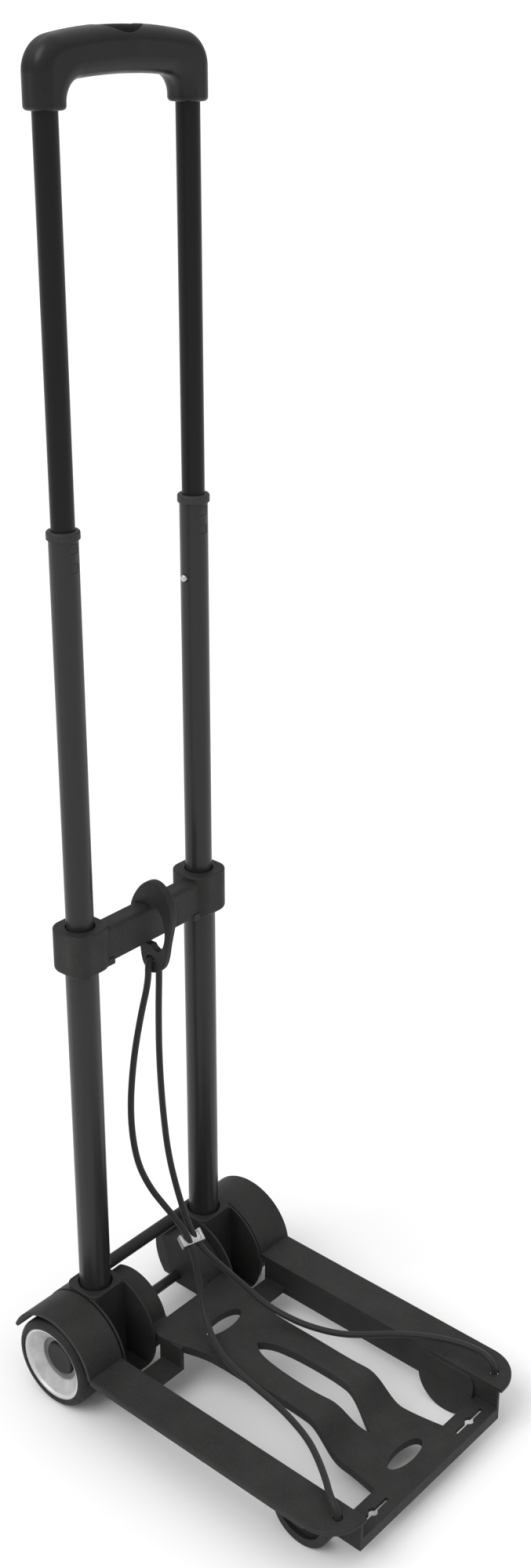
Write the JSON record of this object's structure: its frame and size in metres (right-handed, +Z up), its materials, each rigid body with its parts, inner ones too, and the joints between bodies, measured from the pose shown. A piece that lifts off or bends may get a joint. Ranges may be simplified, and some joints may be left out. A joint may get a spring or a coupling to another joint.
{
  "type": "folding luggage hand truck",
  "caption": "Folding luggage hand truck with telescoping twin tubes, arched grip with push button, fold-up openwork tray, small wheels and a hooked bungee cord.",
  "frame": {"origin": "on the floor under the middle of the whole object's outline", "axes": "+Z up, X along the wheel axle, the tray reaches towards -Y and the tubes stand near the +Y end"},
  "size_m": [0.229, 0.321, 0.9796],
  "materials": {
    "tube_alloy": "satin black coating on aluminium tube",
    "axle_steel": "blackened steel rod",
    "moulded_black": "fine-grained black moulded plastic",
    "collar_plastic": "smooth dark grey plastic",
    "handle_plastic": "semi-gloss black plastic",
    "button_plastic": "black plastic push button",
    "tyre_rubber": "black rubber-like tyre",
    "rim_plastic": "silver grey painted plastic",
    "hub_plastic": "black plastic cap",
    "steel": "zinc plated steel",
    "clip_metal": "bright crimped metal",
    "cord_fabric": "woven sheath over elastic core"
  },
  "bodies": {
    "frame": {"base_bracket": "moulded_black", "base_screws": "steel", "axle_rod": "axle_steel", "axle_push_nuts": "steel", "axle_washers": "steel", "lower_tube_left": "tube_alloy", "lower_tube_right": "tube_alloy", "lower_guide_left": "collar_plastic", "lower_guide_right": "collar_plastic", "crossbar_bracket": "moulded_black", "bracket_screws": "steel", "cord_hook": "moulded_black"},
    "platform": {"deck": "moulded_black", "front_foot_left": "moulded_black", "front_foot_right": "moulded_black", "cord_clip": "clip_metal", "cord_knots": "cord_fabric", "bungee_cord": "cord_fabric"},
    "left_wheel": {"tyre_left": "tyre_rubber", "rim_left": "rim_plastic", "hub_cap_left": "hub_plastic"},
    "right_wheel": {"tyre_right": "tyre_rubber", "rim_right": "rim_plastic", "hub_cap_right": "hub_plastic"},
    "middle_stage": {"middle_tube_left": "tube_alloy", "middle_tube_right": "tube_alloy", "middle_collar_left": "collar_plastic", "middle_collar_right": "collar_plastic", "middle_guide_left": "collar_plastic", "middle_guide_right": "collar_plastic", "middle_lock_pins": "steel", "middle_lock_springs": "steel"},
    "upper_stage": {"upper_tube_left": "tube_alloy", "upper_tube_right": "tube_alloy", "upper_guide_left": "collar_plastic", "upper_guide_right": "collar_plastic", "upper_lock_springs": "steel", "handle_shell_front": "handle_plastic", "handle_shell_rear": "handle_plastic", "handle_screws": "steel", "button_spring": "steel"},
    "release": {"release_button": "button_plastic", "release_yoke": "handle_plastic", "release_rods": "steel"},
    "left_lock_pin": {"upper_lock_pin_left": "steel"},
    "right_lock_pin": {"upper_lock_pin_right": "steel"}
  },
  "joints": [
    {"name": "platform_fold", "type": "hinge", "parent": "frame", "child": "platform", "pos_m": [0, 0.117, 0.036], "axis": [-1, 0, 0], "range_deg": [0, 90], "deforming": ["bungee_cord"]},
    {"name": "left_wheel_spin", "type": "hinge", "parent": "frame", "child": "left_wheel", "pos_m": [0, 0.117, 0.036], "axis": [1, 0, 0], "continuous": true},
    {"name": "right_wheel_spin", "type": "hinge", "parent": "frame", "child": "right_wheel", "pos_m": [0, 0.117, 0.036], "axis": [1, 0, 0], "continuous": true},
    {"name": "middle_slide", "type": "slide", "parent": "frame", "child": "middle_stage", "axis": [0, 0, 1], "range_m": [-0.272, 0], "deforming": ["middle_lock_pins", "upper_lock_pin_left", "upper_lock_pin_right"]},
    {"name": "upper_slide", "type": "slide", "parent": "middle_stage", "child": "upper_stage", "axis": [0, 0, 1], "range_m": [-0.25, 0], "deforming": ["upper_lock_pin_left", "upper_lock_pin_right"]},
    {"name": "release_press", "type": "slide", "parent": "upper_stage", "child": "release", "axis": [0, 0, -1], "range_m": [0, 0.004], "stiffness_N_per_m": 300, "springref_m": -0.002, "deforming": ["button_spring", "upper_lock_springs"]},
    {"name": "left_lock_retract", "type": "slide", "parent": "upper_stage", "child": "left_lock_pin", "axis": [-1, 0, 0], "range_m": [0, 0.0036]},
    {"name": "right_lock_retract", "type": "slide", "parent": "upper_stage", "child": "right_lock_pin", "axis": [1, 0, 0], "range_m": [0, 0.0036]}
  ],
  "couplings": [
    {"joint": "left_lock_retract", "follows": "release_press", "ratio": 0.9},
    {"joint": "right_lock_retract", "follows": "release_press", "ratio": 0.9}
  ]
}
